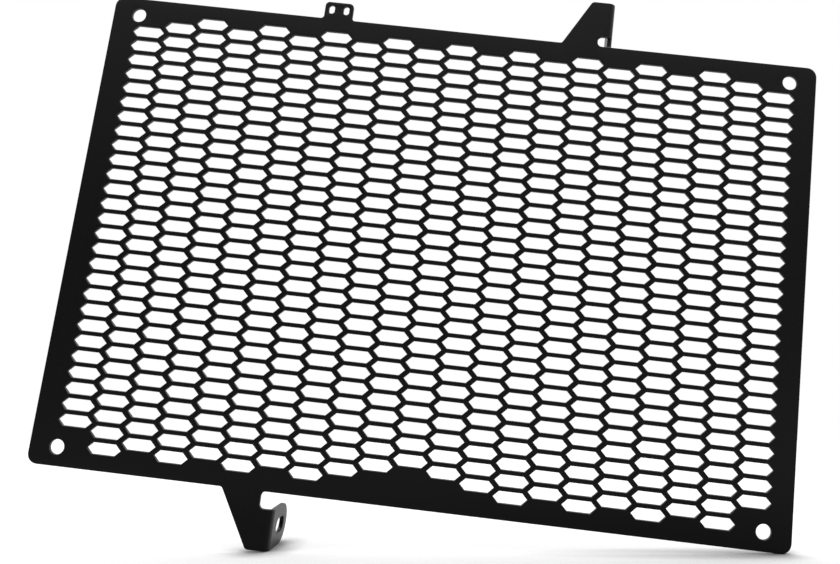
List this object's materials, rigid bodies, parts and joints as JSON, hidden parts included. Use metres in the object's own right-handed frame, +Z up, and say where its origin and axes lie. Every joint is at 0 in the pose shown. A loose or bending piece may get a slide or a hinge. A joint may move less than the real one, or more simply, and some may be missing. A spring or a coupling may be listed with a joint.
{
  "type": "radiator guard",
  "caption": "Flat motorcycle radiator guard with staggered long hexagonal openings, corner screw holes, a cable tie tab and tabs folded back into drilled lugs.",
  "frame": {"origin": "centre of the four corner holes, on the sheet's rear face", "axes": "+X to the right and +Z up as seen from the front, +Y to the rear, where the radiator is"},
  "size_m": [0.335, 0.0272, 0.2646],
  "materials": {
    "powder_coat": "satin black powder coat on aluminium"
  },
  "bodies": {
    "root": {"radiator_guard": "powder_coat"}
  },
  "joints": []
}
